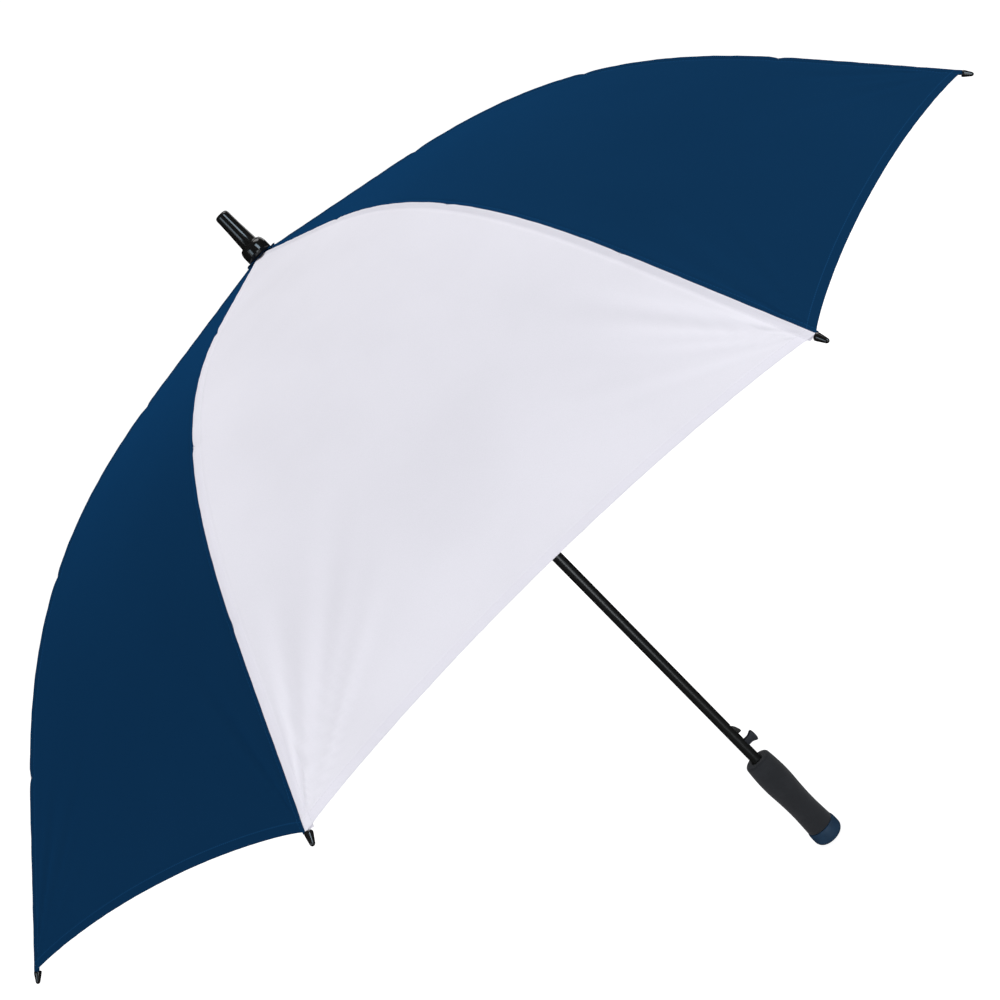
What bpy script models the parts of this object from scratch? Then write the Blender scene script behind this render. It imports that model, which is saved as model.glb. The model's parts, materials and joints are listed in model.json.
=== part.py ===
"""Golf umbrella, open: straight shaft, eight hinged ribs with stretchers, sliding runner, push-button latch.

Z = 0 is the flat bottom of the handle's end cap and +Z runs up the shaft. Ribs stand at 22.5 degrees plus
multiples of 45, so a panel faces each of +X, +Y, -X and -Y. The latch and the button are on the +X side.
Rib parts are drawn in a vertical plane, X outward from the shaft, with their origin on their own hinge.
"""

import math

import bmesh
import bpy
import numpy as np
from mathutils import Matrix, Vector

# ---- Driving dimensions, in metres and degrees ----
PANELS = 8
PANEL_ANGLE = 2 * math.pi / PANELS
CROWN_Z = 0.9124  # the canopy's top at the shaft
RIM_RADIUS = 0.640  # from the shaft's axis to a corner of the fabric
CROWN_SLOPE, RIM_SLOPE = 9.8, 45.9  # of a rib, below the horizontal
BEND_START, BEND_END = 0.149, 0.6225  # distance along the rib where it starts and stops bending

SHAFT_RADIUS, SHAFT_WALL = 0.0065, 0.0008
SHAFT_BOTTOM, SHAFT_TOP = 0.0115, CROWN_Z + 0.030
GAP = 0.0003  # between touching parts
CLOTH = 0.0008  # thickness of the canopy's solids
SEAM_GAP = 0.0004  # from a rib's plane to each panel's edge
PANEL_START = 0.0105  # distance along the rib where the panels start, round the shaft
HEM_ARCH = 0.019  # how far the middle of a hem is cut back towards the crown
HEM_FULLNESS = 0.8  # exponent of the hem's arch

RIB_RADIUS = 0.0019
RIB_DROP, TIP_DROP = 0.0045, 0.0024  # from the cloth's middle surface to the rib's centreline
NOTCH_PIVOT_RADIUS = 0.0130
NOTCH_PIN_DROP = 0.0090  # from the notch's wire down to its cross pin
JOINT_RADIUS = 0.320  # where the stretcher carries the rib
LUG_DROP = 0.0060  # from the rib's hinge down to the stretcher's pivot
STRETCHER_LENGTH = 0.365
RUNNER_PIVOT_RADIUS = 0.0135
CLOSED_JOINT_RADIUS = 0.0168  # where the stretcher's pivot lies when the umbrella is shut
CLOSED_TIP_RADIUS = 0.0260
PLATE = 0.0012  # half thickness of an eye or a tongue
FORK_INSIDE, FORK_OUTSIDE = 0.0015, 0.0027  # half widths of the rib's fork
PIN_RADIUS = 0.0010
WIRE_RADIUS = 0.0006

RUNNER_BELOW_PIVOT = 0.060
DRIVE_PIN_BELOW_PIVOT = 0.016
PLUNGER_HALF = 0.008
GRIP_TOP, CAP_TOP = 0.1333, 0.0200
HOOK_FACE_Z = 0.1724  # the latch's steep face, which holds the runner down
BUTTON_Z = 0.1576
PRESS_TRAVEL = 0.0042
EYE_RADIUS = 0.0023  # outside radius of an eye or a tongue
SHOW_PIN = 0.0004  # how far a rivet's head stands out

NAVY = (0.006, 0.030, 0.080)
WHITE = (0.76, 0.76, 0.80)
BLACK = (0.010, 0.010, 0.012)
CHARCOAL = (0.022, 0.023, 0.026)
CAP_BLUE = (0.008, 0.022, 0.055)
STEEL = (0.55, 0.56, 0.58)


# ---- The rib's curve ----
def slope_at(along):
    """Slope of the rib below the horizontal, in radians, at distances along it from the crown."""
    share = np.clip((along - BEND_START) / (BEND_END - BEND_START), 0, 1)
    eased = share * share * (3 - 2 * share)
    return np.radians(CROWN_SLOPE + (RIM_SLOPE - CROWN_SLOPE) * eased)


ALONG = np.linspace(0, 0.80, 1601)
STEP = ALONG[1]
MIDWAY = slope_at(ALONG[:-1] + STEP / 2)
RADIUS_AT = np.concatenate([[0], np.cumsum(np.cos(MIDWAY))]) * STEP
HEIGHT_AT = CROWN_Z - np.concatenate([[0], np.cumsum(np.sin(MIDWAY))]) * STEP
RIB_LENGTH = float(np.interp(RIM_RADIUS, RADIUS_AT, ALONG))
JOINT_ALONG = float(np.interp(JOINT_RADIUS, RADIUS_AT, ALONG))


def cloth_point(along):
    """(radius, height) of the cloth's middle surface over a rib."""
    return float(np.interp(along, ALONG, RADIUS_AT)), float(np.interp(along, ALONG, HEIGHT_AT))


def below_cloth(along, drop):
    """(radius, height) of a point square below the cloth."""
    radius, height = cloth_point(along)
    slope = float(slope_at(along))
    return radius - drop * math.sin(slope), height - drop * math.cos(slope)


def outer_drop(along):
    share = (along - JOINT_ALONG) / (RIB_LENGTH - JOINT_ALONG)
    return RIB_DROP + (TIP_DROP - RIB_DROP) * min(max(share, 0), 1)


# ---- Pivots in a rib's plane, as (radius, height) ----
NOTCH_PIVOT = (NOTCH_PIVOT_RADIUS, below_cloth(NOTCH_PIVOT_RADIUS, RIB_DROP)[1])
RIB_JOINT = below_cloth(JOINT_ALONG, RIB_DROP)
STRETCHER_PIVOT = below_cloth(JOINT_ALONG, RIB_DROP + LUG_DROP)
TIP_END = below_cloth(RIB_LENGTH, TIP_DROP)


def runner_pivot_height(joint):
    """Height of the runner's pivots for a stretcher whose upper pivot is at joint."""
    return joint[1] - math.sqrt(STRETCHER_LENGTH**2 - (joint[0] - RUNNER_PIVOT_RADIUS) ** 2)


def turned(point, centre, angle):
    """The point turned by an angle that closes the umbrella: outward goes to down."""
    x, z = point[0] - centre[0], point[1] - centre[1]
    return (
        centre[0] + x * math.cos(angle) + z * math.sin(angle),
        centre[1] - x * math.sin(angle) + z * math.cos(angle),
    )


def direction(start, end):
    """Angle of a line below the horizontal, in radians."""
    return math.atan2(start[1] - end[1], end[0] - start[0])


def turn_to_radius(point, centre, radius):
    """The closing angle that brings a point on a link to a radius, with the link hanging down."""
    reach = math.dist(point, centre)
    return math.acos((radius - centre[0]) / reach) - direction(centre, point)


RIB_TURN = turn_to_radius(STRETCHER_PIVOT, NOTCH_PIVOT, CLOSED_JOINT_RADIUS)
JOINT_CLOSED = turned(RIB_JOINT, NOTCH_PIVOT, RIB_TURN)
PIVOT_CLOSED = turned(STRETCHER_PIVOT, NOTCH_PIVOT, RIB_TURN)
TIP_FOLLOWED = turned(TIP_END, NOTCH_PIVOT, RIB_TURN)
OUTER_TURN = turn_to_radius(TIP_FOLLOWED, JOINT_CLOSED, CLOSED_TIP_RADIUS)
RUNNER_Z = runner_pivot_height(STRETCHER_PIVOT)
RUNNER_CLOSED_Z = runner_pivot_height(PIVOT_CLOSED)
RUNNER_TRAVEL = RUNNER_Z - RUNNER_CLOSED_Z
RUNNER_PIVOT = (RUNNER_PIVOT_RADIUS, RUNNER_Z)
STRETCHER_TURN = (
    direction(PIVOT_CLOSED, (RUNNER_PIVOT_RADIUS, RUNNER_CLOSED_Z))
    - direction(STRETCHER_PIVOT, RUNNER_PIVOT)
    - RIB_TURN
)
DRIVE_PIN_Z = RUNNER_Z - DRIVE_PIN_BELOW_PIVOT
NOTCH_PIN_Z = NOTCH_PIVOT[1] - NOTCH_PIN_DROP


# ---- Blender helpers ----
def clear_scene():
    for obj in list(bpy.data.objects):
        bpy.data.objects.remove(obj, do_unlink=True)


def new_collection(name):
    made = bpy.data.collections.new(name)
    bpy.context.scene.collection.children.link(made)
    return made


def material(name, colour, roughness, metallic=0.0):
    made = bpy.data.materials.new(name)
    made.use_nodes = True
    shader = made.node_tree.nodes["Principled BSDF"]
    shader.inputs["Base Color"].default_value = (*colour, 1.0)
    shader.inputs["Roughness"].default_value = roughness
    shader.inputs["Metallic"].default_value = metallic
    return made


def helper(mesh_or_curve, name):
    """An object that shapes another and isn't a piece itself."""
    obj = bpy.data.objects.new(name, mesh_or_curve)
    obj.hide_render = True
    obj.display_type = "WIRE"
    CUTTERS.objects.link(obj)
    return obj


def baked(obj):
    """The object's evaluated shape as a plain mesh, its loose caps welded."""
    bpy.context.view_layer.update()
    evaluated = obj.evaluated_get(bpy.context.evaluated_depsgraph_get())
    mesh = bpy.data.meshes.new_from_object(evaluated)
    mesh.transform(obj.matrix_world)
    bpy.data.objects.remove(obj, do_unlink=True)
    work = bmesh.new()
    work.from_mesh(mesh)
    bmesh.ops.remove_doubles(work, verts=work.verts, dist=1e-6)
    bmesh.ops.recalc_face_normals(work, faces=work.faces)
    work.to_mesh(mesh)
    work.free()
    return mesh


def plate(points, low, high):
    """A flat outline in the XZ plane, between two Y values."""
    curve = bpy.data.curves.new("plate", "CURVE")
    curve.dimensions = "2D"
    curve.fill_mode = "BOTH"
    curve.extrude = (high - low) / 2
    spline = curve.splines.new("POLY")
    spline.points.add(len(points) - 1)
    for place, (x, z) in zip(spline.points, points):
        place.co = (x, z, 0, 1)
    spline.use_cyclic_u = True
    obj = helper(curve, "plate")
    obj.matrix_world = Matrix.Translation((0, (low + high) / 2, 0)) @ Matrix.Rotation(math.pi / 2, 4, "X")
    return baked(obj)


def rod(points, radius, resolution=1, cyclic=False):
    """A round bar along points in space."""
    curve = bpy.data.curves.new("rod", "CURVE")
    curve.dimensions = "3D"
    curve.bevel_depth = radius
    curve.bevel_resolution = resolution
    curve.use_fill_caps = not cyclic
    spline = curve.splines.new("POLY")
    spline.points.add(len(points) - 1)
    for place, point in zip(spline.points, points):
        place.co = (*point, 1)
    spline.use_cyclic_u = cyclic
    return baked(helper(curve, "rod"))


def lathe(profile, steps=32):
    """A turned shape about Z. The profile is (radius, height), down the outside and back up the bore."""
    mesh = bpy.data.meshes.new("lathe")
    closing = [] if profile[0][0] == profile[-1][0] == 0 else [(len(profile) - 1, 0)]
    edges = [(i, i + 1) for i in range(len(profile) - 1)] + closing
    mesh.from_pydata([(r, 0, z) for r, z in profile], edges, [])
    obj = helper(mesh, "lathe")
    screw = obj.modifiers.new("Screw", "SCREW")
    screw.steps = screw.render_steps = steps
    screw.use_merge_vertices = True
    screw.merge_threshold = 1e-6
    return baked(obj)


def bar(radius, start, end, sides=8):
    """A straight round pin between two points."""
    work = bmesh.new()
    line = Vector(end) - Vector(start)
    turn = line.to_track_quat("Z", "Y").to_matrix().to_4x4()
    middle = Matrix.Translation((Vector(start) + Vector(end)) / 2)
    bmesh.ops.create_cone(
        work,
        cap_ends=True,
        segments=sides,
        radius1=radius,
        radius2=radius,
        depth=line.length,
        matrix=middle @ turn,
    )
    mesh = bpy.data.meshes.new("bar")
    work.to_mesh(mesh)
    work.free()
    return mesh


def block(low, high):
    """A box between two corners."""
    work = bmesh.new()
    size = Vector(high) - Vector(low)
    place = Matrix.Translation((Vector(low) + Vector(high)) / 2) @ Matrix.Diagonal((*size, 1))
    bmesh.ops.create_cube(work, size=1, matrix=place)
    mesh = bpy.data.meshes.new("block")
    work.to_mesh(mesh)
    work.free()
    return mesh


def combined(mesh, *others, operation="DIFFERENCE"):
    """The mesh with each of the others cut from it, or joined to it."""
    obj = helper(mesh, "base")
    helpers = []
    for other in others:
        tool = helper(other, "tool")
        helpers.append(tool)
        boolean = obj.modifiers.new("Boolean", "BOOLEAN")
        boolean.operation = operation
        boolean.solver = "EXACT"
        boolean.object = tool
    result = baked(obj)
    for tool in helpers:
        bpy.data.objects.remove(tool, do_unlink=True)
    return result


def spun(mesh, angle):
    """A copy of the mesh turned about Z."""
    copy = mesh.copy()
    copy.transform(Matrix.Rotation(angle, 4, "Z"))
    return copy


def piece(name, mesh, look, at=(0, 0, 0), turn=0.0, parent=None):
    """One named part of the umbrella. The mesh is drawn about its own origin, which goes to at."""
    if not mesh.materials:
        mesh.materials.append(look)
    mesh.shade_smooth()
    mesh.set_sharp_from_angle(angle=math.radians(35))
    obj = bpy.data.objects.new(name, mesh)
    obj.location = at
    obj.rotation_euler = (0, 0, turn)
    obj.parent = parent
    UMBRELLA.objects.link(obj)
    return obj


def mount_point(name, at, turn=0.0):
    """An empty on a joint, which carries the pieces that move on it."""
    obj = bpy.data.objects.new(name, None)
    obj.location = at
    obj.rotation_euler = (0, 0, turn)
    UMBRELLA.objects.link(obj)
    return obj


def relative(points, origin):
    return [(x - origin[0], z - origin[1]) for x, z in points]


def arc(centre, radius, start, end, count=8):
    """Points on an arc in the XZ plane, between angles in degrees."""
    angles = np.radians(np.linspace(start, end, count))
    return [(centre[0] + radius * math.cos(a), centre[1] + radius * math.sin(a)) for a in angles]


def eye_plate(towards, height=0.0032):
    """Side view of a round-ended tongue about the origin, reaching along a direction given in radians."""
    lean = math.degrees(towards)
    round_end = arc((0, 0), EYE_RADIUS, lean + 90, lean + 270, 7)
    along = Vector((math.cos(towards), math.sin(towards)))
    across = Vector((-along.y, along.x)) * height / 2
    far = along * (NECK + IN_BAR)
    return round_end + [tuple(far - across), tuple(far + across)]


def in_plane(points):
    """Points in the rib's plane as points in space."""
    return [(x, 0, z) for x, z in points]


# ---- Ribs and stretchers, each drawn about its own hinge ----
EYE_HOLE, TONGUE_HOLE = WIRE_RADIUS + 0.0006, PIN_RADIUS + GAP
NECK = 0.0055  # from a pivot to where its round bar starts
IN_BAR = 0.0040  # how far a tongue reaches into its round bar
SLEEVE_LENGTH = 0.015
CUTTER = 0.010  # half length of a drill through a rib's part


def inner_rib_mesh():
    """Glass-fibre bar with an eye for the notch wire and a fork for the outer rib and the stretcher."""
    shoulder, slot_half = 0.007, 0.012
    stations = np.linspace(NOTCH_PIVOT_RADIUS + NECK, JOINT_ALONG - shoulder, 7)
    line = relative([below_cloth(s, RIB_DROP) for s in stations], NOTCH_PIVOT)
    joint, lug = relative([RIB_JOINT, STRETCHER_PIVOT], NOTCH_PIVOT)
    lean = -float(slope_at(JOINT_ALONG))
    eye = plate(eye_plate(-math.radians(CROWN_SLOPE)), -PLATE, PLATE)
    along = Vector((math.cos(lean), math.sin(lean)))
    down = Vector((along.y, -along.x))
    bend = Vector(joint) - along * shoulder
    start = bend - along * SLEEVE_LENGTH
    degrees = math.degrees(lean)
    cheek = [
        tuple(start - down * FORK_OUTSIDE),
        tuple(start + down * FORK_OUTSIDE),
        tuple(bend + down * (FORK_OUTSIDE + GAP)),
        *arc(lug, EYE_RADIUS, degrees - 150, degrees, 5),
        *arc(joint, EYE_RADIUS, degrees, degrees + 90, 4),
    ]
    fork = plate(cheek, -FORK_OUTSIDE, FORK_OUTSIDE)
    middle = Vector(joint) + along * (slot_half - EYE_RADIUS - 2 * GAP)
    slot = block((-slot_half, -FORK_INSIDE, -slot_half), (slot_half, FORK_INSIDE, slot_half))
    slot.transform(Matrix.Translation((middle.x, 0, middle.y)) @ Matrix.Rotation(-lean, 4, "Y"))
    pin_end = FORK_OUTSIDE + SHOW_PIN
    pins = [bar(PIN_RADIUS, (x, -pin_end, z), (x, pin_end, z)) for x, z in (joint, lug)]
    fork = combined(combined(fork, slot), *pins, operation="UNION")
    hole = bar(EYE_HOLE, (0, -CUTTER, 0), (0, CUTTER, 0))
    return combined(combined(rod(in_plane(line), RIB_RADIUS), eye, fork, operation="UNION"), hole)


def outer_rib_mesh():
    """The bar from the fitting to the tip, with a thin end that the tip cap takes."""
    stations = np.linspace(JOINT_ALONG + NECK, RIB_LENGTH - 0.006, 10)
    line = relative([below_cloth(s, outer_drop(s)) for s in stations], RIB_JOINT)
    thin = relative(
        [below_cloth(s, outer_drop(s)) for s in (RIB_LENGTH - 0.010, RIB_LENGTH + 0.004)], RIB_JOINT
    )
    lean = -float(slope_at(JOINT_ALONG))
    tongue = plate(eye_plate(lean), -PLATE, PLATE)
    spigot = bar(0.0012, *in_plane(thin))
    hole = bar(TONGUE_HOLE, (0, -CUTTER, 0), (0, CUTTER, 0))
    return combined(combined(rod(in_plane(line), RIB_RADIUS), tongue, spigot, operation="UNION"), hole)


def tip_cap_mesh():
    """Bullet-shaped plastic cap with a blind socket, drawn along +Z from its mouth."""
    length, radius, bore, depth = 0.0110, 0.0028, 0.0015, 0.0052
    nose = [
        (radius * math.cos(a), length - radius * 1.6 + radius * 1.6 * math.sin(a))
        for a in np.radians(np.linspace(90, 0, 5))
    ]
    nose[0] = (0, length)
    wall = [(radius * 0.92, 0.0), (bore, 0.0), (bore, depth), (0, depth)]
    return lathe(nose + wall, 10)


def stretcher_mesh():
    """Round bar with a tongue for the rib's fork and an open eye that hooks over the runner's wire."""
    towards = -direction(STRETCHER_PIVOT, RUNNER_PIVOT)
    along = Vector((math.cos(towards), math.sin(towards)))
    above = Vector((along.y, -along.x))
    end = along * STRETCHER_LENGTH
    bar_start, bar_end = along * NECK, end - along * 0.024
    body = bar(RIB_RADIUS - 0.0002, (bar_start.x, 0, bar_start.y), (bar_end.x, 0, bar_end.y), 8)
    tongue = plate(eye_plate(towards), -PLATE, PLATE)
    crank = [(0.028, 0.0012), (0.028, -0.0014), (0.022, -0.0026), (0.0, -0.0026)]
    hook_round = arc((0, 0), 0.0026, 270, 90, 9)
    mouth_low = [(0.0, 0.0012)] + arc((0, 0), 0.0012, 180, 270, 5)
    outline = crank + hook_round[1:] + mouth_low + [(0.002, -0.0012), (0.022, 0.0012)]
    hook = plate([tuple(end - along * back + above * up) for back, up in outline], -PLATE, PLATE)
    hole = bar(TONGUE_HOLE, (0, -CUTTER, 0), (0, CUTTER, 0))
    return combined(combined(body, tongue, hook, operation="UNION"), hole)


# ---- Canopy ----
def hem_cut(across):
    """How far the hem is cut back, at a place across the panel that runs from 0 to 1."""
    return HEM_ARCH * (4 * across * (1 - across)) ** HEM_FULLNESS


def panel_mesh():
    """One panel, from rib to rib about +X: straight lines between the two ribs' curves, given a thickness."""
    work = bmesh.new()
    bmesh.ops.create_grid(work, x_segments=12, y_segments=4, size=0.5)
    half = PANEL_ANGLE / 2
    for vert in work.verts:
        down, across = vert.co.x + 0.5, vert.co.y + 0.5
        along = PANEL_START + down * (RIB_LENGTH - hem_cut(across) - PANEL_START)
        radius, height = cloth_point(along)
        half_width = radius * math.sin(half) - SEAM_GAP
        vert.co = (radius * math.cos(half), (2 * across - 1) * half_width, height - CROWN_Z)
    bmesh.ops.recalc_face_normals(work, faces=work.faces)
    mesh = bpy.data.meshes.new("panel")
    work.to_mesh(mesh)
    work.free()
    obj = helper(mesh, "panel")
    solidify = obj.modifiers.new("Solidify", "SOLIDIFY")
    solidify.thickness = CLOTH
    solidify.offset = 0
    return baked(obj)


def rosette_mesh():
    """The patch of cloth under the ferrule, a washer that follows the crown's slope."""
    slope = math.tan(math.radians(CROWN_SLOPE))
    low = CLOTH / 2 + GAP
    inner, outer = SHAFT_RADIUS + 0.0004, 0.0190

    def height(radius):
        return -radius * slope + low

    profile = [
        (inner, height(inner) + CLOTH),
        (outer, height(outer) + CLOTH),
        (outer, height(outer)),
        (inner, height(inner)),
    ]
    return lathe(profile, 24)


def tie_strap_mesh(along=0.600, width=0.016, length=0.110, margin=0.003):
    """Closing strap, lying on a panel beside the seam that it is sewn to. Drawn like the panel, about +X."""
    stations = np.linspace(along, along + length, 5)
    half = PANEL_ANGLE / 2
    lift = CLOTH / 2 + 2 * GAP
    outside = [below_cloth(s, -lift - CLOTH) for s in stations]
    inside = [below_cloth(s, -lift) for s in stations]
    outline = [(r * math.cos(half), z - CROWN_Z) for r, z in outside + inside[::-1]]
    mesh = plate(outline, -width, 0)
    for vert in mesh.vertices:
        vert.co.y += vert.co.x * math.tan(half) - margin
    return mesh


# ---- Crown, runner and shaft ----
def groove_profile(bore, hub, rim, low, high, pivot_z, pivot_radius):
    """A flanged ring with a groove round it for its wire: down the outside, then up the bore."""
    half = WIRE_RADIUS + GAP
    floor = pivot_radius - half
    return [
        (bore, high),
        (hub, high),
        (rim, high - 0.0008),
        (rim, pivot_z + half),
        (floor, pivot_z + half),
        (floor, pivot_z - half),
        (rim, pivot_z - half),
        (rim, low + 0.0008),
        (hub, low),
        (bore, low),
    ]


def rib_slots(floor_radius, rim):
    """A box for each rib's slot, through the ring's flange."""
    half_width, half_height = PLATE + 0.0005, 0.0060
    slot = block((floor_radius, -half_width, -half_height), (rim + 0.002, half_width, half_height))
    return [spun(slot, PANEL_ANGLE * (k + 0.5)) for k in range(PANELS)]


def notch_mesh():
    """Slotted ring at the crown that carries the ribs, drawn about the height of their wire."""
    bore, hub, rim = SHAFT_RADIUS + GAP, 0.0112, 0.0152
    profile = groove_profile(bore, hub, rim, -0.0042, 0.0022, 0, NOTCH_PIVOT_RADIUS)
    skirt = [(hub - 0.0012, -0.0042), (hub - 0.0016, -0.0125), (bore, -0.0125)]
    body = lathe(profile[:-2] + skirt, 32)
    pin_hole = bar(PIN_RADIUS + GAP, (-rim, 0, -NOTCH_PIN_DROP), (rim, 0, -NOTCH_PIN_DROP))
    return combined(body, *rib_slots(0.0099, rim), pin_hole)


def runner_mesh():
    """Sliding runner: slotted flange above, and a sleeve with a drive-pin hole and a latch window below."""
    bore, hub, rim = SHAFT_RADIUS + GAP, 0.0112, 0.0168
    sleeve, foot, low = 0.0098, 0.0130, -RUNNER_BELOW_PIVOT
    flange = groove_profile(bore, hub, rim, -0.0042, 0.0030, 0, RUNNER_PIVOT_RADIUS)
    skirt = [
        (sleeve + 0.0004, -0.0042),
        (sleeve, -0.0090),
        (sleeve - 0.0004, -0.0300),
        (sleeve, -0.0480),
        (foot, low + 0.0050),
        (foot, low + 0.0015),
        (foot - 0.0010, low),
        (bore, low),
    ]
    body = lathe(flange[:-2] + skirt, 32)
    pin_hole = bar(0.0015, (0, 0.004, -DRIVE_PIN_BELOW_PIVOT), (0, 0.016, -DRIVE_PIN_BELOW_PIVOT))
    window = block((0.004, -0.0032, low - 0.01), (0.02, 0.0032, low + 0.030))
    return combined(body, *rib_slots(0.0104, rim), pin_hole, window)


def wire_ring(radius):
    angles = np.linspace(0, 2 * math.pi, 32, endpoint=False)
    points = [(radius * math.cos(a), radius * math.sin(a), 0) for a in angles]
    return rod(points, WIRE_RADIUS, 1, cyclic=True)


def shaft_mesh():
    """Steel tube with the drive pin's slot on +Y and the latch's and button's windows on +X."""
    inside = SHAFT_RADIUS - SHAFT_WALL
    outer_wall = [(SHAFT_RADIUS, SHAFT_TOP), (SHAFT_RADIUS, SHAFT_BOTTOM)]
    inner_wall = [(inside, SHAFT_BOTTOM), (inside, SHAFT_TOP)]
    tube = lathe(outer_wall + inner_wall, 32)
    low, high = DRIVE_PIN_Z - RUNNER_TRAVEL - 0.0015, DRIVE_PIN_Z + 0.0015
    slot = block((-0.0016, 0.001, low), (0.0016, 0.012, high))
    latch_window = block((0.001, -0.0026, HOOK_FACE_Z - 0.0012), (0.012, 0.0026, HOOK_FACE_Z + 0.0145))
    button_window = block((0.001, -0.0036, BUTTON_Z - 0.0045), (0.012, 0.0036, BUTTON_Z + 0.0045))
    pin_half = NOTCH_PIVOT_RADIUS
    notch_pin_hole = bar(PIN_RADIUS + GAP, (-pin_half, 0, NOTCH_PIN_Z), (pin_half, 0, NOTCH_PIN_Z))
    return combined(tube, slot, latch_window, button_window, notch_pin_hole)


def ferrule_mesh():
    """Black plastic spike: blunt cone, domed shoulder, and a blind socket for the shaft's end."""
    base, top = 0.0007, 0.0555
    collar, neck, tip = 0.0141, 0.0093, 0.0070
    shoulder_z, cone_z = 0.0060, 0.0158
    dome = [
        (neck + (collar - neck) * math.sin(a), shoulder_z + (cone_z - shoulder_z) * (math.cos(a)))
        for a in np.radians(np.linspace(0, 90, 7))
    ]
    rounding = 0.002
    nose = arc((tip - rounding, top - rounding), rounding, 90, 0, 4)
    socket = SHAFT_RADIUS + GAP
    socket_top = SHAFT_TOP - CROWN_Z + 0.0005
    foot = [(collar, base + 0.0008), (collar - 0.0006, base), (socket, base)]
    return lathe([(0, top)] + nose + dome + foot + [(socket, socket_top), (0, socket_top)], 24)


def coil(radius, wire, bottom, top, turns, per_turn=8):
    """A helix about Z."""
    count = turns * per_turn
    points = []
    for k in range(count + 1):
        angle = 2 * math.pi * k / per_turn
        height = bottom + (top - bottom) * k / count
        points.append((radius * math.cos(angle), radius * math.sin(angle), height))
    return rod(points, wire, 0)


def plunger_mesh():
    """Slug inside the shaft, with the pin that drives the runner through the shaft's slot."""
    slug = bar(0.0053, (0, 0, DRIVE_PIN_Z - PLUNGER_HALF), (0, 0, DRIVE_PIN_Z + PLUNGER_HALF))
    drive_pin = bar(0.0012, (0, 0, DRIVE_PIN_Z), (0, 0.0092, DRIVE_PIN_Z))
    return combined(slug, drive_pin, operation="UNION")


def opening_spring_mesh():
    """Compression spring between the plunger and the notch's cross pin."""
    clearance, coil_radius, turns = 0.002, 0.0047, 20
    bottom = DRIVE_PIN_Z + PLUNGER_HALF + clearance
    top = NOTCH_PIN_Z - PIN_RADIUS - clearance
    return coil(coil_radius, WIRE_RADIUS, bottom, top, turns)


# ---- Handle ----
def foam_grip_mesh():
    """Foam grip with a rounded top, a slight waist and a straight bore."""
    bore = 0.0098
    stations = [
        (0.0205, 0.0168),
        (0.0212, 0.0173),
        (0.0330, 0.0169),
        (0.0484, 0.0163),
        (0.0635, 0.0165),
        (0.0780, 0.0172),
        (0.0920, 0.0181),
        (0.1040, 0.0183),
        (0.1150, 0.0178),
        (0.1260, 0.0171),
        (0.1310, 0.0165),
        (0.1327, 0.0158),
        (GRIP_TOP, 0.0145),
    ]
    outside = [(radius, z) for z, radius in reversed(stations)]
    return lathe([(bore, GRIP_TOP)] + outside + [(bore, stations[0][0])], 24)


def grip_core_mesh():
    """Plastic sleeve between the shaft and the foam."""
    bore, outer = SHAFT_RADIUS + GAP, 0.0095
    high, low = GRIP_TOP - 0.0005, CAP_TOP + GAP
    return lathe([(bore, high), (outer, high), (outer, low), (bore, low)], 24)


def end_cap_mesh():
    """Smooth end cap with a flat bottom and a blind socket for the shaft's end."""
    rim, flat = 0.0186, 0.0120
    corner_z = 0.0085
    side = [(0.0176, CAP_TOP), (rim - 0.0002, CAP_TOP - 0.0012), (rim, CAP_TOP - 0.0050)]
    rounding = [
        (flat + (rim - flat) * math.cos(a), corner_z - corner_z * math.sin(a))
        for a in np.radians(np.linspace(0, 90, 8))
    ]
    socket, floor_z = SHAFT_RADIUS + GAP, SHAFT_BOTTOM - GAP
    return lathe([(socket, CAP_TOP)] + side + rounding + [(0, 0), (0, floor_z), (socket, floor_z)], 24)


# ---- Latch and button, on the +X side ----
def latch_mesh():
    """Pressed-steel latch: a flat leaf inside the shaft with a hook through its window."""
    back, face = 0.0042, 0.0052
    low, high = BUTTON_Z - 0.005, HOOK_FACE_Z + 0.026
    outline = [
        (back, low),
        (face, low),
        (face, HOOK_FACE_Z),
        (0.0105, HOOK_FACE_Z),
        (0.0110, HOOK_FACE_Z + 0.0012),
        (0.0075, HOOK_FACE_Z + 0.0100),
        (face, HOOK_FACE_Z + 0.0125),
        (face, high),
        (back, high),
    ]
    return plate(outline, -0.0022, 0.0022)


def button_mesh():
    """Push button: a neck through the shaft's window, and a flared head that stays outside when pressed."""
    neck, head = 0.0040, 0.0064
    root, flare, brim, face = 0.0052, SHAFT_RADIUS + PRESS_TRAVEL, 0.0166, 0.0190
    bulge = [
        (face + 0.0008 * math.cos(a), BUTTON_Z + 0.0060 * math.sin(a)) for a in np.radians((60, 20, -20, -60))
    ]
    outline = [
        (root, BUTTON_Z - neck),
        (root, BUTTON_Z + neck),
        (flare, BUTTON_Z + neck),
        (brim, BUTTON_Z + head),
        (face - 0.0004, BUTTON_Z + head),
        *bulge,
        (face - 0.0004, BUTTON_Z - head),
        (brim, BUTTON_Z - head),
        (flare, BUTTON_Z - neck),
    ]
    return plate(outline, -0.0032, 0.0032)


def latch_spring_mesh():
    """Bent strip that pushes the latch out against the far wall of the shaft."""
    thick, reach = 0.0004, 0.0070
    back, wall = 0.0039, -0.0054
    outline = [
        (back, BUTTON_Z + reach),
        (back - thick, BUTTON_Z + reach),
        (wall, BUTTON_Z + 0.0004),
        (wall, BUTTON_Z - 0.0004),
        (back - thick, BUTTON_Z - reach),
        (back, BUTTON_Z - reach),
        (wall + thick, BUTTON_Z),
    ]
    return plate(outline, -0.0018, 0.0018)


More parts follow.
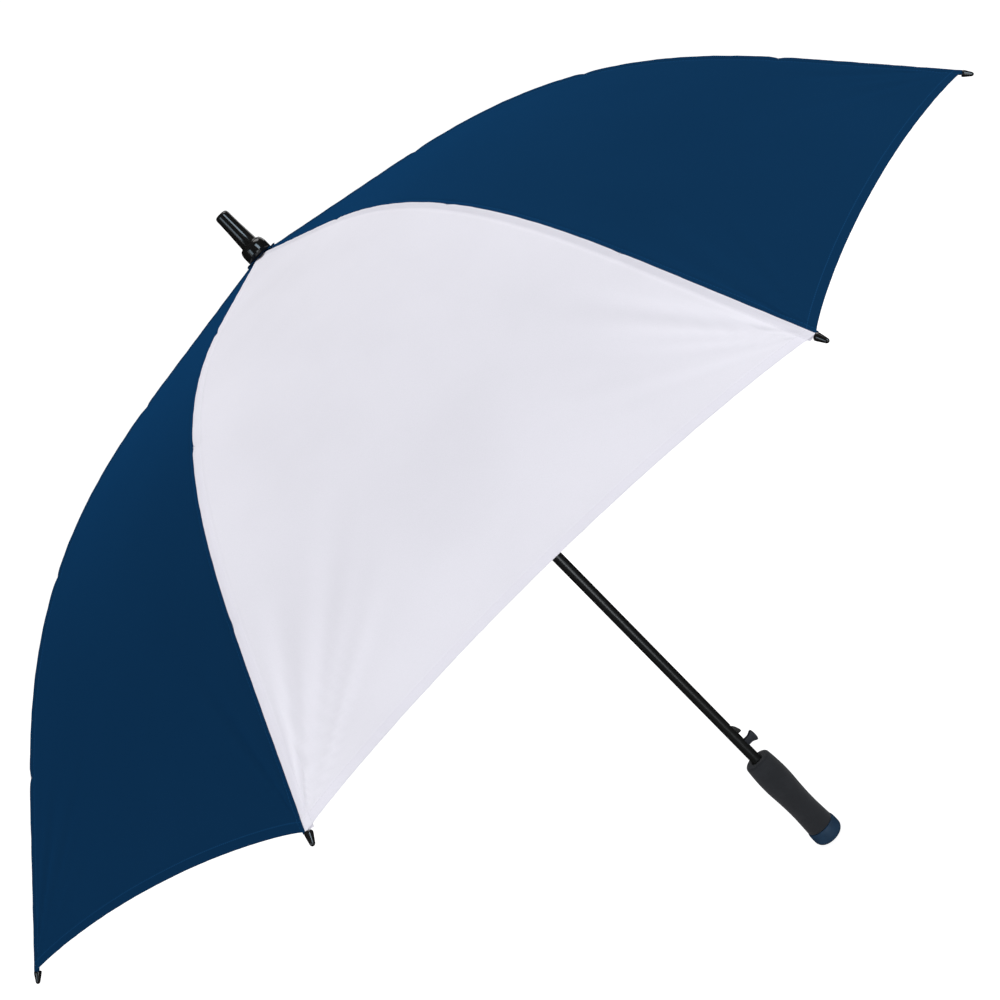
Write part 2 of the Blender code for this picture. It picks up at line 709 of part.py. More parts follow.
# ---- Assembly ----
def rib_set(looks):
    """The eight ribs, stretchers, tip caps and panels."""
    inner, outer, stretcher, cap, panel = (
        inner_rib_mesh(),
        outer_rib_mesh(),
        stretcher_mesh(),
        tip_cap_mesh(),
        panel_mesh(),
    )
    cap_start = relative([below_cloth(RIB_LENGTH + 0.0006, TIP_DROP)], RIB_JOINT)[0]
    cap_lean = math.pi / 2 + math.radians(RIM_SLOPE)
    cap.transform(Matrix.Translation((cap_start[0], 0, cap_start[1])) @ Matrix.Rotation(cap_lean, 4, "Y"))
    panels = {"navy": panel, "white": panel.copy()}
    for k in range(PANELS):
        azimuth = (k + 0.5) * PANEL_ANGLE
        outward = Vector((math.cos(azimuth), math.sin(azimuth)))
        number = k + 1

        def at(point):
            return (outward.x * point[0], outward.y * point[0], point[1])

        joint = mount_point(f"rib_joint_{number}", at(RIB_JOINT), azimuth)
        piece(f"inner_rib_{number}", inner, looks["rib"], at(NOTCH_PIVOT), azimuth)
        piece(f"outer_rib_{number}", outer, looks["rib"], (0, 0, 0), 0, joint)
        piece(f"tip_cap_{number}", cap, looks["plastic"], (0, 0, 0), 0, joint)
        piece(f"stretcher_{number}", stretcher, looks["rib"], at(STRETCHER_PIVOT), azimuth)
        colour = "white" if k % 2 else "navy"
        panel_turn = azimuth + PANEL_ANGLE / 2
        piece(f"panel_{number}_{colour}", panels[colour], looks[colour], (0, 0, CROWN_Z), panel_turn)


def build():
    looks = {
        "navy": material("navy_cloth", NAVY, 0.7),
        "white": material("white_cloth", WHITE, 0.7),
        "plastic": material("black_plastic", BLACK, 0.25),
        "rib": material("rib_fibreglass", BLACK, 0.35),
        "shaft": material("shaft_enamel", BLACK, 0.15, 0.3),
        "steel": material("steel", STEEL, 0.3, 1.0),
        "foam": material("foam", CHARCOAL, 0.9),
        "cap": material("cap_plastic", CAP_BLUE, 0.4),
    }
    rib_set(looks)
    crown, wire_z = (0, 0, CROWN_Z), (0, 0, NOTCH_PIVOT[1])
    piece("shaft_tube", shaft_mesh(), looks["shaft"])
    piece("ferrule", ferrule_mesh(), looks["plastic"], crown)
    piece("top_rosette", rosette_mesh(), looks["navy"], crown)
    piece("top_notch", notch_mesh(), looks["plastic"], wire_z)
    piece("notch_wire", wire_ring(NOTCH_PIVOT_RADIUS), looks["steel"], wire_z)
    notch_pin = combined(bar(PIN_RADIUS, (-0.0095, 0, NOTCH_PIN_Z), (0.0095, 0, NOTCH_PIN_Z)))
    piece("notch_pin", notch_pin, looks["steel"])
    piece("foam_grip", foam_grip_mesh(), looks["foam"])
    piece("grip_core", grip_core_mesh(), looks["plastic"])
    piece("end_cap", end_cap_mesh(), looks["cap"])
    piece("runner", runner_mesh(), looks["plastic"], (0, 0, RUNNER_Z))
    piece("runner_wire", wire_ring(RUNNER_PIVOT_RADIUS), looks["steel"], (0, 0, RUNNER_Z))
    piece("drive_plunger", plunger_mesh(), looks["steel"])
    piece("opening_spring", opening_spring_mesh(), looks["steel"])
    piece("latch", latch_mesh(), looks["steel"])
    piece("push_button", button_mesh(), looks["plastic"])
    piece("latch_spring", latch_spring_mesh(), looks["steel"])
    piece("tie_strap", tie_strap_mesh(), looks["navy"], crown, PANEL_ANGLE)


clear_scene()
UMBRELLA = new_collection("golf_umbrella")
CUTTERS = new_collection("cutters")
build()
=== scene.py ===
"""The golf umbrella's looks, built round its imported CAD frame: canopy, crown, handle, studio and camera.

Lengths are in metres. +Z runs up the shaft. Panel n lies between ribs n and n + 1. A white panel faces -Y.
A panel is drawn in its own frame, with +X outward through its middle and +Y towards rib n + 1.
"""

import json
import math

import bmesh
import bpy
import numpy as np
from mathutils import Matrix, Vector

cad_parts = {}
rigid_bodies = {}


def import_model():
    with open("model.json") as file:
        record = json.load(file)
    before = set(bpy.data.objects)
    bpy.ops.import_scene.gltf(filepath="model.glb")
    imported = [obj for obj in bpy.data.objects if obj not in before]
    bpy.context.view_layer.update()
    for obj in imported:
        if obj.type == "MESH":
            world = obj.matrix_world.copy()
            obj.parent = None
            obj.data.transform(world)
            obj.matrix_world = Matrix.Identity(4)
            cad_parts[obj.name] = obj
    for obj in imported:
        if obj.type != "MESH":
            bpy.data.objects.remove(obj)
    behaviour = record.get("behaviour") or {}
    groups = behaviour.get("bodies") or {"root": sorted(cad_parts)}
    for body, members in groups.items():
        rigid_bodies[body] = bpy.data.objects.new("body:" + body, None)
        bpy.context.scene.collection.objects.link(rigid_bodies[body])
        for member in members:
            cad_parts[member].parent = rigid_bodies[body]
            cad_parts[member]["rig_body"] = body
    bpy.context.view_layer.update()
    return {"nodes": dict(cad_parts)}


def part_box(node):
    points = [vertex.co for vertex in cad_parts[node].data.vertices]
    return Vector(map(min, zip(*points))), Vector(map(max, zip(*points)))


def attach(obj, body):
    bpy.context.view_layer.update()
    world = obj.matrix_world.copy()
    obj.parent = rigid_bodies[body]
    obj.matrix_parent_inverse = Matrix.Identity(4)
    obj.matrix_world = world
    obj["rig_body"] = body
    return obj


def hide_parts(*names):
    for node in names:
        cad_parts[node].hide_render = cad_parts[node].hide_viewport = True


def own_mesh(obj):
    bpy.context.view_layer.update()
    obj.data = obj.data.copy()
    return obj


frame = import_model()
NODES = frame["nodes"]

# ---- The canopy's shape, as in the CAD ----
PANELS = 8
PANEL_ANGLE = 2 * math.pi / PANELS
HALF_ANGLE = PANEL_ANGLE / 2
CROWN_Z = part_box("shaft_tube")[1].z - 0.030
RIM_RADIUS, JOINT_RADIUS = 0.640, 0.320
CROWN_SLOPE, RIM_SLOPE = 9.8, 45.9  # degrees below the horizontal
BEND_START, BEND_END = 0.149, 0.6225  # distances along a rib
PANEL_START = 0.0105
HEM_ARCH, HEM_FULLNESS = 0.019, 0.8
RIB_DROP, TIP_DROP = 0.0045, 0.0024  # from the cloth down to a rib's centreline
ROSETTE_BORE, ROSETTE_RADIUS = 0.0074, 0.0192

# ---- The cloth's own detail ----
SAG, SAG_POWER = 0.0015, 5  # how far a panel sinks between its ribs, and how flat its middle is
RIDGE, RIDGE_WIDTH = 0.0006, 0.0036  # the felled seam over each rib
GROOVE, GROOVE_AT, GROOVE_WIDTH = 0.00045, 0.0064, 0.0017  # the stitched line beside it
PUCKER, PUCKER_REACH = 0.00022, 0.012  # small waves beside the seam
FAN, FAN_REACH = 0.00110, 0.072  # folds that run out from a tip
FAN_TURN = 0.42  # radians from the rib at which those folds are strongest, and how widely they spread
BILLOW = 0.0006  # slow unevenness in the middle of a panel
HEM_RIPPLE, HEM_RIPPLE_REACH = 0.00045, 0.014
TIES = (0.200, 0.386, 0.571)  # where a thread holds the cloth to a rib
TIE_DIP, TIE_LENGTH, TIE_REACH = 0.0010, 0.0045, 0.0070  # a tie's dip: its depth, and size along and across
SEAM_ZONE, HEM_BAND = 0.014, 0.012  # margins with a finer grid
SEAM_FOLD = ((0.0, 0.0003), (0.0006, 0.0007), (0.0030, 0.0008), (0.0060, 0.0008))
HEM_FOLD = ((0.0, 0.0002), (0.0001, 0.0005), (0.0010, 0.0007), (0.0050, 0.0007), (0.0085, 0.0007))
SEAM_ALLOWANCE, HEM_ALLOWANCE = SEAM_FOLD[-1][0], HEM_FOLD[-1][0]
INNER_ROWS, OUTER_ROWS, BAND_ROWS = 70, 92, 8
SEAM_COLUMNS, FIELD_COLUMNS = 13, 34
HEM_STITCHES = 0.0080  # the hem's stitched line, up from its edge
NO_EDGE = 0.05  # a distance from seam or hem that puts no stitches on the cloth

# Folds at a panel's two corners, at rib n and at rib n + 1, as shares of FAN.
CORNER_FOLDS = {
    1: (0.7, 0.5),
    2: (0.6, 0.8),
    3: (0.5, 0.7),
    4: (0.8, 0.6),
    5: (0.9, 1.1),
    6: (1.7, 0.8),
    7: (1.2, 0.6),
    8: (0.6, 0.7),
}

# Dyed cloth, as linear red, green and blue
WHITE = (0.815, 0.800, 0.852)
NAVY = (0.0042, 0.0278, 0.0735)


# ---- Curves ----
def slope_at(along):
    """The cloth's slope below the horizontal over a rib, in radians."""
    share = np.clip((along - BEND_START) / (BEND_END - BEND_START), 0, 1)
    eased = share * share * (3 - 2 * share)
    return np.radians(CROWN_SLOPE + (RIM_SLOPE - CROWN_SLOPE) * eased)


# The curve over a rib, added up in small steps out from the shaft's axis.
ALONG = np.linspace(0, 0.80, 1601)
STEP = ALONG[1]
MIDWAY = slope_at(ALONG[:-1] + STEP / 2)
RADIUS_AT = np.concatenate([[0], np.cumsum(np.cos(MIDWAY))]) * STEP
HEIGHT_AT = CROWN_Z - np.concatenate([[0], np.cumsum(np.sin(MIDWAY))]) * STEP
RIB_LENGTH = float(np.interp(RIM_RADIUS, RADIUS_AT, ALONG))
JOINT_ALONG = float(np.interp(JOINT_RADIUS, RADIUS_AT, ALONG))


def radius_at(along):
    return np.interp(along, ALONG, RADIUS_AT)


def height_at(along):
    return np.interp(along, ALONG, HEIGHT_AT)


def half_width_at(along):
    return radius_at(along) * math.sin(HALF_ANGLE)


def rib_azimuth(number):
    return PANEL_ANGLE * (number - 0.5)


def rib_after(number):
    return number % PANELS + 1


def rib_point(number, along, drop):
    """A point square below the cloth's line over a rib."""
    slope = float(slope_at(along))
    radius = float(radius_at(along)) - drop * math.sin(slope)
    height = float(height_at(along)) - drop * math.cos(slope)
    azimuth = rib_azimuth(number)
    return Vector((radius * math.cos(azimuth), radius * math.sin(azimuth), height))


def bump(distance, width):
    """1 at no distance, falling smoothly to 0 past about twice the width."""
    return np.exp(-((distance / width) ** 2))


def wander(place, length, seed):
    """An uneven wave of about this wavelength, between -1 and 1, the same each run."""
    turn = 2 * math.pi * place / length
    return (
        0.5 * np.sin(turn + 2.1 * seed)
        + 0.3 * np.sin(0.618 * turn + 4.7 * seed + 1.0)
        + 0.2 * np.sin(1.47 * turn + 1.3 * seed + 2.5)
    )


# ---- The cloth's surface ----
def seam_lift(rib, along, inward):
    """Height of the seam's ridge, groove, puckers and tied-down spots, at a distance in from the seam."""
    height = RIDGE * bump(inward, RIDGE_WIDTH) - GROOVE * bump(inward - GROOVE_AT, GROOVE_WIDTH)
    ripple = 0.7 * wander(along, 0.026, rib) + 0.3 * wander(along, 0.011, rib + 0.5)
    height = height + PUCKER * ripple * np.exp(-inward / PUCKER_REACH)
    for tie in TIES:
        height = height - TIE_DIP * bump(along - tie, TIE_LENGTH) * bump(inward, TIE_REACH)
    return height


def fan_at(seed, along, inward):
    """Folds that run out from the tip of a rib across the panel, between -1 in a trough and 1 on a ridge."""
    back = np.maximum(RIB_LENGTH - along, 0)
    reach = np.hypot(back, inward) + 1e-9
    turn = np.arctan2(inward, back + 1e-9)
    strength = reach / FAN_REACH * np.exp((1 - (reach / FAN_REACH) ** 2) / 2)
    lean = 7 * reach
    waves = (
        0.40 * np.cos(17 * turn + lean + seed)
        + 0.36 * np.cos(27 * turn - lean + 2.3 * seed)
        + 0.24 * np.cos(37 * turn + 2 * lean + 3.1 * seed)
    )
    return strength * waves * bump(turn - FAN_TURN, FAN_TURN)


def folds_at(panel, along, across):
    """The folds from both of a panel's tips together."""
    half_width = half_width_at(along)
    total = 0 * along
    for side in (-1, 1):
        inward = np.maximum(half_width - side * across, 0)
        total = total + CORNER_FOLDS[panel][(side + 1) // 2] * fan_at(panel + 2.5 * side, along, inward)
    return total


def cloth_lift(panel, along, across):
    """How far the cloth stands off the straight lines between its two ribs."""
    half_width = half_width_at(along)
    share = np.clip(np.abs(across) / half_width, 0, 1)
    reach = np.clip((along - PANEL_START) / (RIB_LENGTH - PANEL_START), 0, 1)
    height = -SAG * np.sin(0.9 * math.pi * reach) * (1 - share**SAG_POWER)
    billow = wander(across, 0.170, panel) * wander(along, 0.210, panel + 0.4)
    height = height + BILLOW * billow * (1 - share)
    for side, rib in ((-1, panel), (1, rib_after(panel))):
        inward = np.maximum(half_width - side * across, 0)
        height = height + seam_lift(rib, along, inward)
    height = height + FAN * folds_at(panel, along, across)
    to_hem = np.maximum(hem_along(across / half_width) - along, 0)
    ripple = 0.6 * wander(across, 0.019, panel) + 0.4 * wander(across, 0.047, panel + 0.7)
    return height + HEM_RIPPLE * ripple * np.exp(-to_hem / HEM_RIPPLE_REACH) * (1 - share**8)


def hem_along(share):
    """Distance along the rib of the hem, at a share of the half width from the panel's middle."""
    fullness = np.clip(1 - share * share, 0, 1) ** HEM_FULLNESS
    return RIB_LENGTH - HEM_ARCH * fullness


def cloth_points(panel, along, across, depth):
    """Points of the cloth in space, at a depth below its outer face."""
    slope = slope_at(along)
    half_width = half_width_at(along)
    side = np.sign(across)
    near_seam = np.exp(-(half_width - np.abs(across)) / 0.010)
    middle = np.stack([np.sin(slope), 0 * slope, np.cos(slope) * math.cos(HALF_ANGLE)], -1)
    middle /= np.linalg.norm(middle, axis=-1, keepdims=True)
    over_rib = np.stack(
        [
            np.sin(slope) * math.cos(HALF_ANGLE),
            side * np.sin(slope) * math.sin(HALF_ANGLE),
            np.cos(slope),
        ],
        -1,
    )
    outward = middle + near_seam[..., None] * (over_rib - middle)
    base = np.stack([radius_at(along) * math.cos(HALF_ANGLE), across, height_at(along)], -1)
    points = base + (cloth_lift(panel, along, across) - depth)[..., None] * outward
    turn = PANEL_ANGLE * panel
    spin = np.array([[math.cos(turn), -math.sin(turn), 0], [math.sin(turn), math.cos(turn), 0], [0, 0, 1]])
    return points @ spin.T


# ---- Meshes ----
def grid_faces(rows, columns):
    index = np.arange(rows * columns).reshape(rows, columns)
    corners = (index[:-1, :-1], index[1:, :-1], index[1:, 1:], index[:-1, 1:])
    return np.stack([c.ravel() for c in corners], -1)


def grid_normals(points):
    """Normals of a grid of points, rows down and columns across, so that a cut through it doesn't show."""
    down = np.gradient(points, axis=0)
    across = np.gradient(points, axis=1)
    normals = np.cross(down, across)
    return normals / (np.linalg.norm(normals, axis=-1, keepdims=True) + 1e-15)


def new_object(name, mesh):
    obj = bpy.data.objects.new(name, mesh)
    bpy.context.scene.collection.objects.link(obj)
    return obj


def mesh_object(name, points, faces, look):
    mesh = bpy.data.meshes.new(name)
    mesh.from_pydata([tuple(p) for p in points], [], [tuple(f) for f in faces])
    mesh.materials.append(look)
    mesh.shade_smooth()
    return new_object(name, mesh)


def grid_object(name, points, normals, look, **attributes):
    """A smooth sheet from a grid of points. Each attribute is a grid of vectors."""
    rows, columns = points.shape[:2]
    obj = mesh_object(name, points.reshape(-1, 3), grid_faces(rows, columns), look)
    for label, values in attributes.items():
        layer = obj.data.attributes.new(label, "FLOAT_VECTOR", "POINT")
        layer.data.foreach_set("vector", values.astype(np.float32).ravel())
    obj.data.normals_split_custom_set_from_vertices([tuple(n) for n in normals.reshape(-1, 3)])
    return obj


def smooth_line(points, per_span=6):
    """A Catmull-Rom line through (radius, height) points, as a list."""
    ends = [points[0], *points, points[-1]]
    line = []
    for a, b, c, d in zip(ends, ends[1:], ends[2:], ends[3:]):
        for t in np.linspace(0, 1, per_span, endpoint=False):
            line.append(
                tuple(
                    0.5
                    * (
                        2 * q
                        + (r - p) * t
                        + (2 * p - 5 * q + 4 * r - s) * t * t
                        + (3 * q - p - 3 * r + s) * t**3
                    )
                    for p, q, r, s in zip(a, b, c, d)
                )
            )
    return line + [points[-1]]


def turned_object(name, profile, look, steps=96):
    """A turned shape about Z. The profile is (radius, height), down the outside, then back up by the axis."""
    profile = np.array(profile, float)
    angles = np.linspace(0, 2 * math.pi, steps + 1)[:-1]
    count = len(profile)
    points = np.stack(
        [np.outer(np.cos(angles), profile[:, 0]), np.outer(np.sin(angles), profile[:, 0])]
        + [np.tile(profile[:, 1], (steps, 1))],
        -1,
    )
    faces = []
    for turn in range(steps):
        after = (turn + 1) % steps
        for k in range(count - 1):
            faces.append((turn * count + k, turn * count + k + 1, after * count + k + 1, after * count + k))
    obj = mesh_object(name, points.reshape(-1, 3), faces, look)
    work = bmesh.new()
    work.from_mesh(obj.data)
    bmesh.ops.remove_doubles(work, verts=work.verts, dist=1e-6)
    bmesh.ops.recalc_face_normals(work, faces=work.faces)
    work.to_mesh(obj.data)
    work.free()
    obj.data.shade_smooth()
    obj.data.set_sharp_from_angle(angle=math.radians(50))
    return obj


def tube_object(name, path, radius, look, sides):
    """A round cord along a path of points, on one mesh, with its ends closed."""
    count = len(path)
    points, side = [], None
    for k, here in enumerate(path):
        before, after = path[max(k - 1, 0)], path[min(k + 1, count - 1)]
        tangent = (after - before).normalized()
        side = side or tangent.orthogonal()
        side = side - tangent * side.dot(tangent)
        side.normalize()
        other = tangent.cross(side)
        for angle in np.linspace(0, 2 * math.pi, sides, endpoint=False):
            points.append(here + side * radius * math.cos(angle) + other * radius * math.sin(angle))
    faces = []
    for k in range(count - 1):
        low, high = k * sides, (k + 1) * sides
        for j in range(sides):
            after = (j + 1) % sides
            faces.append((low + j, low + after, high + after, high + j))
    faces.append(tuple(reversed(range(sides))))
    faces.append(tuple(range((count - 1) * sides, count * sides)))
    return mesh_object(name, points, faces, look)


def plate_object(name, outline, half_thickness, bevel, look):
    """A flat outline in the XZ plane, given a thickness and rounded edges."""
    work = bmesh.new()
    verts = [work.verts.new((x, -half_thickness, z)) for x, z in outline]
    face = work.faces.new(verts)
    pushed = bmesh.ops.extrude_face_region(work, geom=[face])
    for item in pushed["geom"]:
        if isinstance(item, bmesh.types.BMVert):
            item.co.y = half_thickness
    bmesh.ops.recalc_face_normals(work, faces=work.faces)
    bmesh.ops.bevel(
        work, geom=list(work.edges), offset=bevel, segments=3, profile=0.6, affect="EDGES", clamp_overlap=True
    )
    mesh = bpy.data.meshes.new(name)
    work.to_mesh(mesh)
    work.free()
    mesh.materials.append(look)
    mesh.shade_smooth()
    mesh.set_sharp_from_angle(angle=math.radians(40))
    return new_object(name, mesh)


# ---- Materials ----
class Nodes:
    """Short calls that build one material's node tree."""

    def __init__(self, name):
        self.material = bpy.data.materials.new(name)
        self.material.use_nodes = True
        self.tree = self.material.node_tree
        self.shader = self.tree.nodes["Principled BSDF"]

    def add(self, kind, **inputs):
        node = self.tree.nodes.new(kind)
        for label, value in inputs.items():
            self.feed(node.inputs[label.replace("_", " ")], value)
        return node

    def feed(self, socket, value):
        if isinstance(value, bpy.types.NodeSocket):
            self.tree.links.new(value, socket)
        else:
            socket.default_value = value

    def maths(self, operation, *values):
        node = self.tree.nodes.new("ShaderNodeMath")
        node.operation = operation
        for socket, value in zip(node.inputs, values):
            self.feed(socket, value)
        return node.outputs[0]

    def noise(self, scale, detail=2.0, vector=None, roughness=0.5):
        node = self.add("ShaderNodeTexNoise", Scale=scale, Detail=detail, Roughness=roughness)
        self.feed(node.inputs["Vector"], vector or self.place())
        return node.outputs["Fac"]

    def place(self):
        """The point on the piece, in metres."""
        return self.tree.nodes.new("ShaderNodeTexCoord").outputs["Object"]

    def stretched(self, scale):
        """The point on the piece, scaled differently along each axis."""
        node = self.tree.nodes.new("ShaderNodeVectorMath")
        node.operation = "MULTIPLY"
        self.feed(node.inputs[0], self.place())
        node.inputs[1].default_value = scale
        return node.outputs[0]

    def spread(self, value, low, high, to_low=0.0, to_high=1.0):
        """The value's range mapped to another, eased at both ends."""
        node = self.tree.nodes.new("ShaderNodeMapRange")
        node.interpolation_type = "SMOOTHSTEP"
        for socket, number in zip(node.inputs, (value, low, high, to_low, to_high)):
            self.feed(socket, number)
        return node.outputs["Result"]

    def shade(self, colour, *factors):
        """A colour made lighter or darker by the product of some values."""
        product = factors[0]
        for factor in factors[1:]:
            product = self.maths("MULTIPLY", product, factor)
        node = self.tree.nodes.new("ShaderNodeVectorMath")
        node.operation = "SCALE"
        self.feed(node.inputs[0], colour)
        self.feed(node.inputs["Scale"], product)
        return node.outputs[0]

    def blend(self, factor, a, b):
        """Colour a where the factor is 0 and colour b where it is 1."""
        node = self.tree.nodes.new("ShaderNodeMix")
        node.data_type = "RGBA"
        colour_a, colour_b, result = node.inputs[6], node.inputs[7], node.outputs[2]
        self.feed(node.inputs["Factor"], factor)
        self.feed(colour_a, a)
        self.feed(colour_b, b)
        return result

    def relief(self, height, strength, distance):
        node = self.add("ShaderNodeBump", Height=height, Strength=strength, Distance=distance)
        self.tree.links.new(node.outputs["Normal"], self.shader.inputs["Normal"])
        return node.outputs["Normal"]

    def finish(self, **values):
        for label, value in values.items():
            self.feed(self.shader.inputs[label.replace("_", " ")], value)
        return self.material


def cloth_material(name, colour, through, margin, thread, gloss, sheen, sheen_tint):
    """Plain-woven polyester: fine weave, stitched seams and hems, and a little light let through.

    through is the share of light let through, and margin the strength of painted light and shade: the colour
    is painted lighter beside the seams, by the crown, on the hem band and at the tips, lighter on the folds'
    ridges and darker in their troughs. thread is the stitches' brightness beside the cloth's, and gloss and
    sheen are what the yarns reflect.
    """
    n = Nodes(name)
    flat = n.add("ShaderNodeAttribute")
    flat.attribute_name = "cloth"
    edges = n.add("ShaderNodeAttribute")
    edges.attribute_name = "edges"
    flat_parts = n.add("ShaderNodeSeparateXYZ", Vector=flat.outputs["Vector"])
    edge_parts = n.add("ShaderNodeSeparateXYZ", Vector=edges.outputs["Vector"])
    across, along = flat_parts.outputs["X"], flat_parts.outputs["Y"]
    from_seam, from_hem = edge_parts.outputs["X"], edge_parts.outputs["Y"]
    fold = edge_parts.outputs["Z"]

    thread_turns = 2 * math.pi / 0.00056
    warp = n.maths("SINE", n.maths("MULTIPLY", across, thread_turns))
    weft = n.maths("SINE", n.maths("MULTIPLY", along, thread_turns))
    weave = n.maths("MULTIPLY", warp, weft)

    def stitches(distance, line, place):
        band = n.maths("ABSOLUTE", n.maths("SUBTRACT", distance, line))
        band = n.spread(band, 0.00022, 0.00050, 1.0, 0.0)
        dash = n.maths("SINE", n.maths("MULTIPLY", place, 2 * math.pi / 0.0030))
        return n.maths("MULTIPLY", band, n.spread(dash, -0.75, -0.35))

    seam_line = stitches(from_seam, GROOVE_AT, along)
    hem_line = stitches(from_hem, HEM_STITCHES, across)
    stitched = n.maths("MAXIMUM", seam_line, hem_line)

    patches = n.spread(n.noise(9.0, 3.0), 0.3, 0.7, 0.985, 1.015)
    slubs = n.spread(n.noise(2600.0, 2.0), 0.3, 0.7, 0.975, 1.025)
    # Painted light: the colour is lighter within about 85 mm of each seam.
    painted_seam_light = n.spread(from_seam, 0.004, 0.085, 1.0 + margin, 1.0)
    # Painted light: the colour is lighter by the crown.
    crown = n.spread(along, 0.05, 0.24, 1.0 + margin, 1.0)
    # Painted light: the colour is lighter on the hem band below its stitches.
    painted_hem_light = n.spread(from_hem, HEM_STITCHES, HEM_STITCHES + 0.0025, 1.0 + margin, 1.0)
    # Painted light and shade: the colour is lighter on the folds' ridges and darker in their troughs.
    folds = n.spread(fold, -0.8, 0.8, 1.0 - margin, 1.0 + margin)
    # Painted light: the colour is lighter towards the tips.
    tip = n.spread(along, 0.56, 0.72, 1.0, 1.0 + margin)
    # The dye's patches and slubs, times the painted light and shade above.
    dye_and_painted_light = n.shade((*colour,), patches, slubs, n.maths("MAXIMUM", painted_seam_light, crown), tip, painted_hem_light, folds)
    threads = n.shade((*colour,), thread)
    shown = n.blend(stitched, dye_and_painted_light, threads)

    height = n.maths("MULTIPLY_ADD", weave, 0.25, n.maths("MULTIPLY", stitched, 2.2))
    normal = n.relief(height, 0.35, 0.00012)
    rough = n.spread(n.noise(420.0, 2.0), 0.3, 0.7, 0.62, 0.74)
    n.finish(Base_Color=shown, Roughness=rough, Specular_IOR_Level=gloss)
    n.finish(Sheen_Weight=sheen, Sheen_Roughness=0.4)
    n.shader.inputs["Sheen Tint"].default_value = (*sheen_tint, 1)
    behind = n.add("ShaderNodeBsdfTranslucent", Color=shown, Normal=normal)
    mixed = n.add("ShaderNodeMixShader", Fac=through)
    output = n.tree.nodes["Material Output"]
    n.tree.links.new(n.shader.outputs[0], mixed.inputs[1])
    n.tree.links.new(behind.outputs[0], mixed.inputs[2])
    n.tree.links.new(mixed.outputs[0], output.inputs["Surface"])
    return n.material


def gloss_plastic(name):
    """Black injection-moulded plastic: nearly smooth, with faint flow waves and handling marks."""
    n = Nodes(name)
    waves = n.noise(120.0, 2.0)
    grain = n.noise(1800.0, 3.0)
    marks = n.spread(n.noise(60.0, 5.0, n.stretched((1.0, 1.0, 0.25))), 0.45, 0.75)
    n.relief(n.maths("MULTIPLY_ADD", waves, 0.5, n.maths("MULTIPLY", grain, 0.04)), 0.06, 0.0004)
    colour = n.blend(marks, (0.0088, 0.0086, 0.0082, 1), (0.0135, 0.0132, 0.0128, 1))
    rough = n.spread(marks, 0.0, 1.0, 0.13, 0.22)
    return n.finish(Base_Color=colour, Roughness=rough, Specular_IOR_Level=0.45)


def satin_plastic(name, colour, roughness, grain_size, depth):
    """Moulded plastic with a spark-eroded grain."""
    n = Nodes(name)
    grain = n.noise(1.0 / grain_size, 3.0, roughness=0.6)
    cloud = n.noise(90.0, 3.0)
    n.relief(grain, 0.30, depth)
    tone = n.spread(cloud, 0.3, 0.7, 0.90, 1.10)
    rough = n.spread(grain, 0.3, 0.7, roughness - 0.06, roughness + 0.06)
    return n.finish(Base_Color=n.shade((*colour,), tone), Roughness=rough, Specular_IOR_Level=0.25)


def enamel(name):
    """Baked black enamel on a drawn tube: glossy, with fine lengthwise lines."""
    n = Nodes(name)
    lines = n.noise(1.0, 4.0, n.stretched((900.0, 900.0, 14.0)))
    scuffs = n.spread(n.noise(1.0, 5.0, n.stretched((160.0, 160.0, 30.0))), 0.58, 0.74)
    n.relief(lines, 0.08, 0.0002)
    colour = n.blend(scuffs, (0.0105, 0.0105, 0.0096, 1), (0.0160, 0.0160, 0.0150, 1))
    rough = n.spread(scuffs, 0.0, 1.0, 0.30, 0.42)
    return n.finish(Base_Color=colour, Roughness=rough, Specular_IOR_Level=0.50)


def fibreglass(name):
    """Black pultruded rod: satin, with a fine mottle from its fibres."""
    n = Nodes(name)
    mottle = n.noise(260.0, 3.0)
    fine = n.noise(2400.0, 2.0)
    n.relief(n.maths("MULTIPLY_ADD", mottle, 0.6, n.maths("MULTIPLY", fine, 0.4)), 0.20, 0.0002)
    tone = n.spread(mottle, 0.3, 0.7, 0.8, 1.25)
    rough = n.spread(fine, 0.3, 0.7, 0.30, 0.44)
    return n.finish(Base_Color=n.shade((0.0105, 0.0107, 0.0120), tone), Roughness=rough)


def steel(name, colour, roughness):
    """Drawn or pressed steel with fine scratches."""
    n = Nodes(name)
    scratches = n.noise(1.0, 4.0, n.stretched((700.0, 700.0, 60.0)))
    stain = n.noise(150.0, 4.0)
    n.relief(scratches, 0.12, 0.0002)
    tone = n.spread(stain, 0.3, 0.7, 0.80, 1.08)
    rough = n.spread(scratches, 0.3, 0.7, roughness - 0.07, roughness + 0.10)
    return n.finish(Base_Color=n.shade((*colour,), tone), Roughness=rough, Metallic=1.0)


def foam_material(name):
    """Fine-celled EVA foam: matt charcoal with small open cells and a rubbed, paler surface in places."""
    n = Nodes(name)
    cells = n.add("ShaderNodeTexVoronoi", Vector=n.place(), Scale=1900.0).outputs["Distance"]
    grain = n.noise(3200.0, 3.0, roughness=0.65)
    rubbed = n.spread(n.noise(38.0, 4.0), 0.40, 0.72)
    n.relief(n.maths("MULTIPLY_ADD", cells, 0.7, n.maths("MULTIPLY", grain, 0.5)), 0.55, 0.00022)
    tone = n.maths("MULTIPLY", n.spread(grain, 0.3, 0.7, 0.72, 1.30), n.spread(rubbed, 0.0, 1.0, 0.90, 1.14))
    rough = n.spread(grain, 0.3, 0.7, 0.80, 0.95)
    n.finish(Base_Color=n.shade((0.0198, 0.0208, 0.0240), tone), Roughness=rough, Specular_IOR_Level=0.25)
    n.shader.inputs["Sheen Weight"].default_value = 0.12
    return n.material


def thread_material(name, colour):
    """Twisted polyester sewing thread."""
    n = Nodes(name)
    twist = n.noise(5200.0, 2.0)
    n.relief(twist, 0.4, 0.0001)
    tone = n.spread(twist, 0.3, 0.7, 0.88, 1.1)
    return n.finish(Base_Color=n.shade((*colour,), tone), Roughness=0.6)


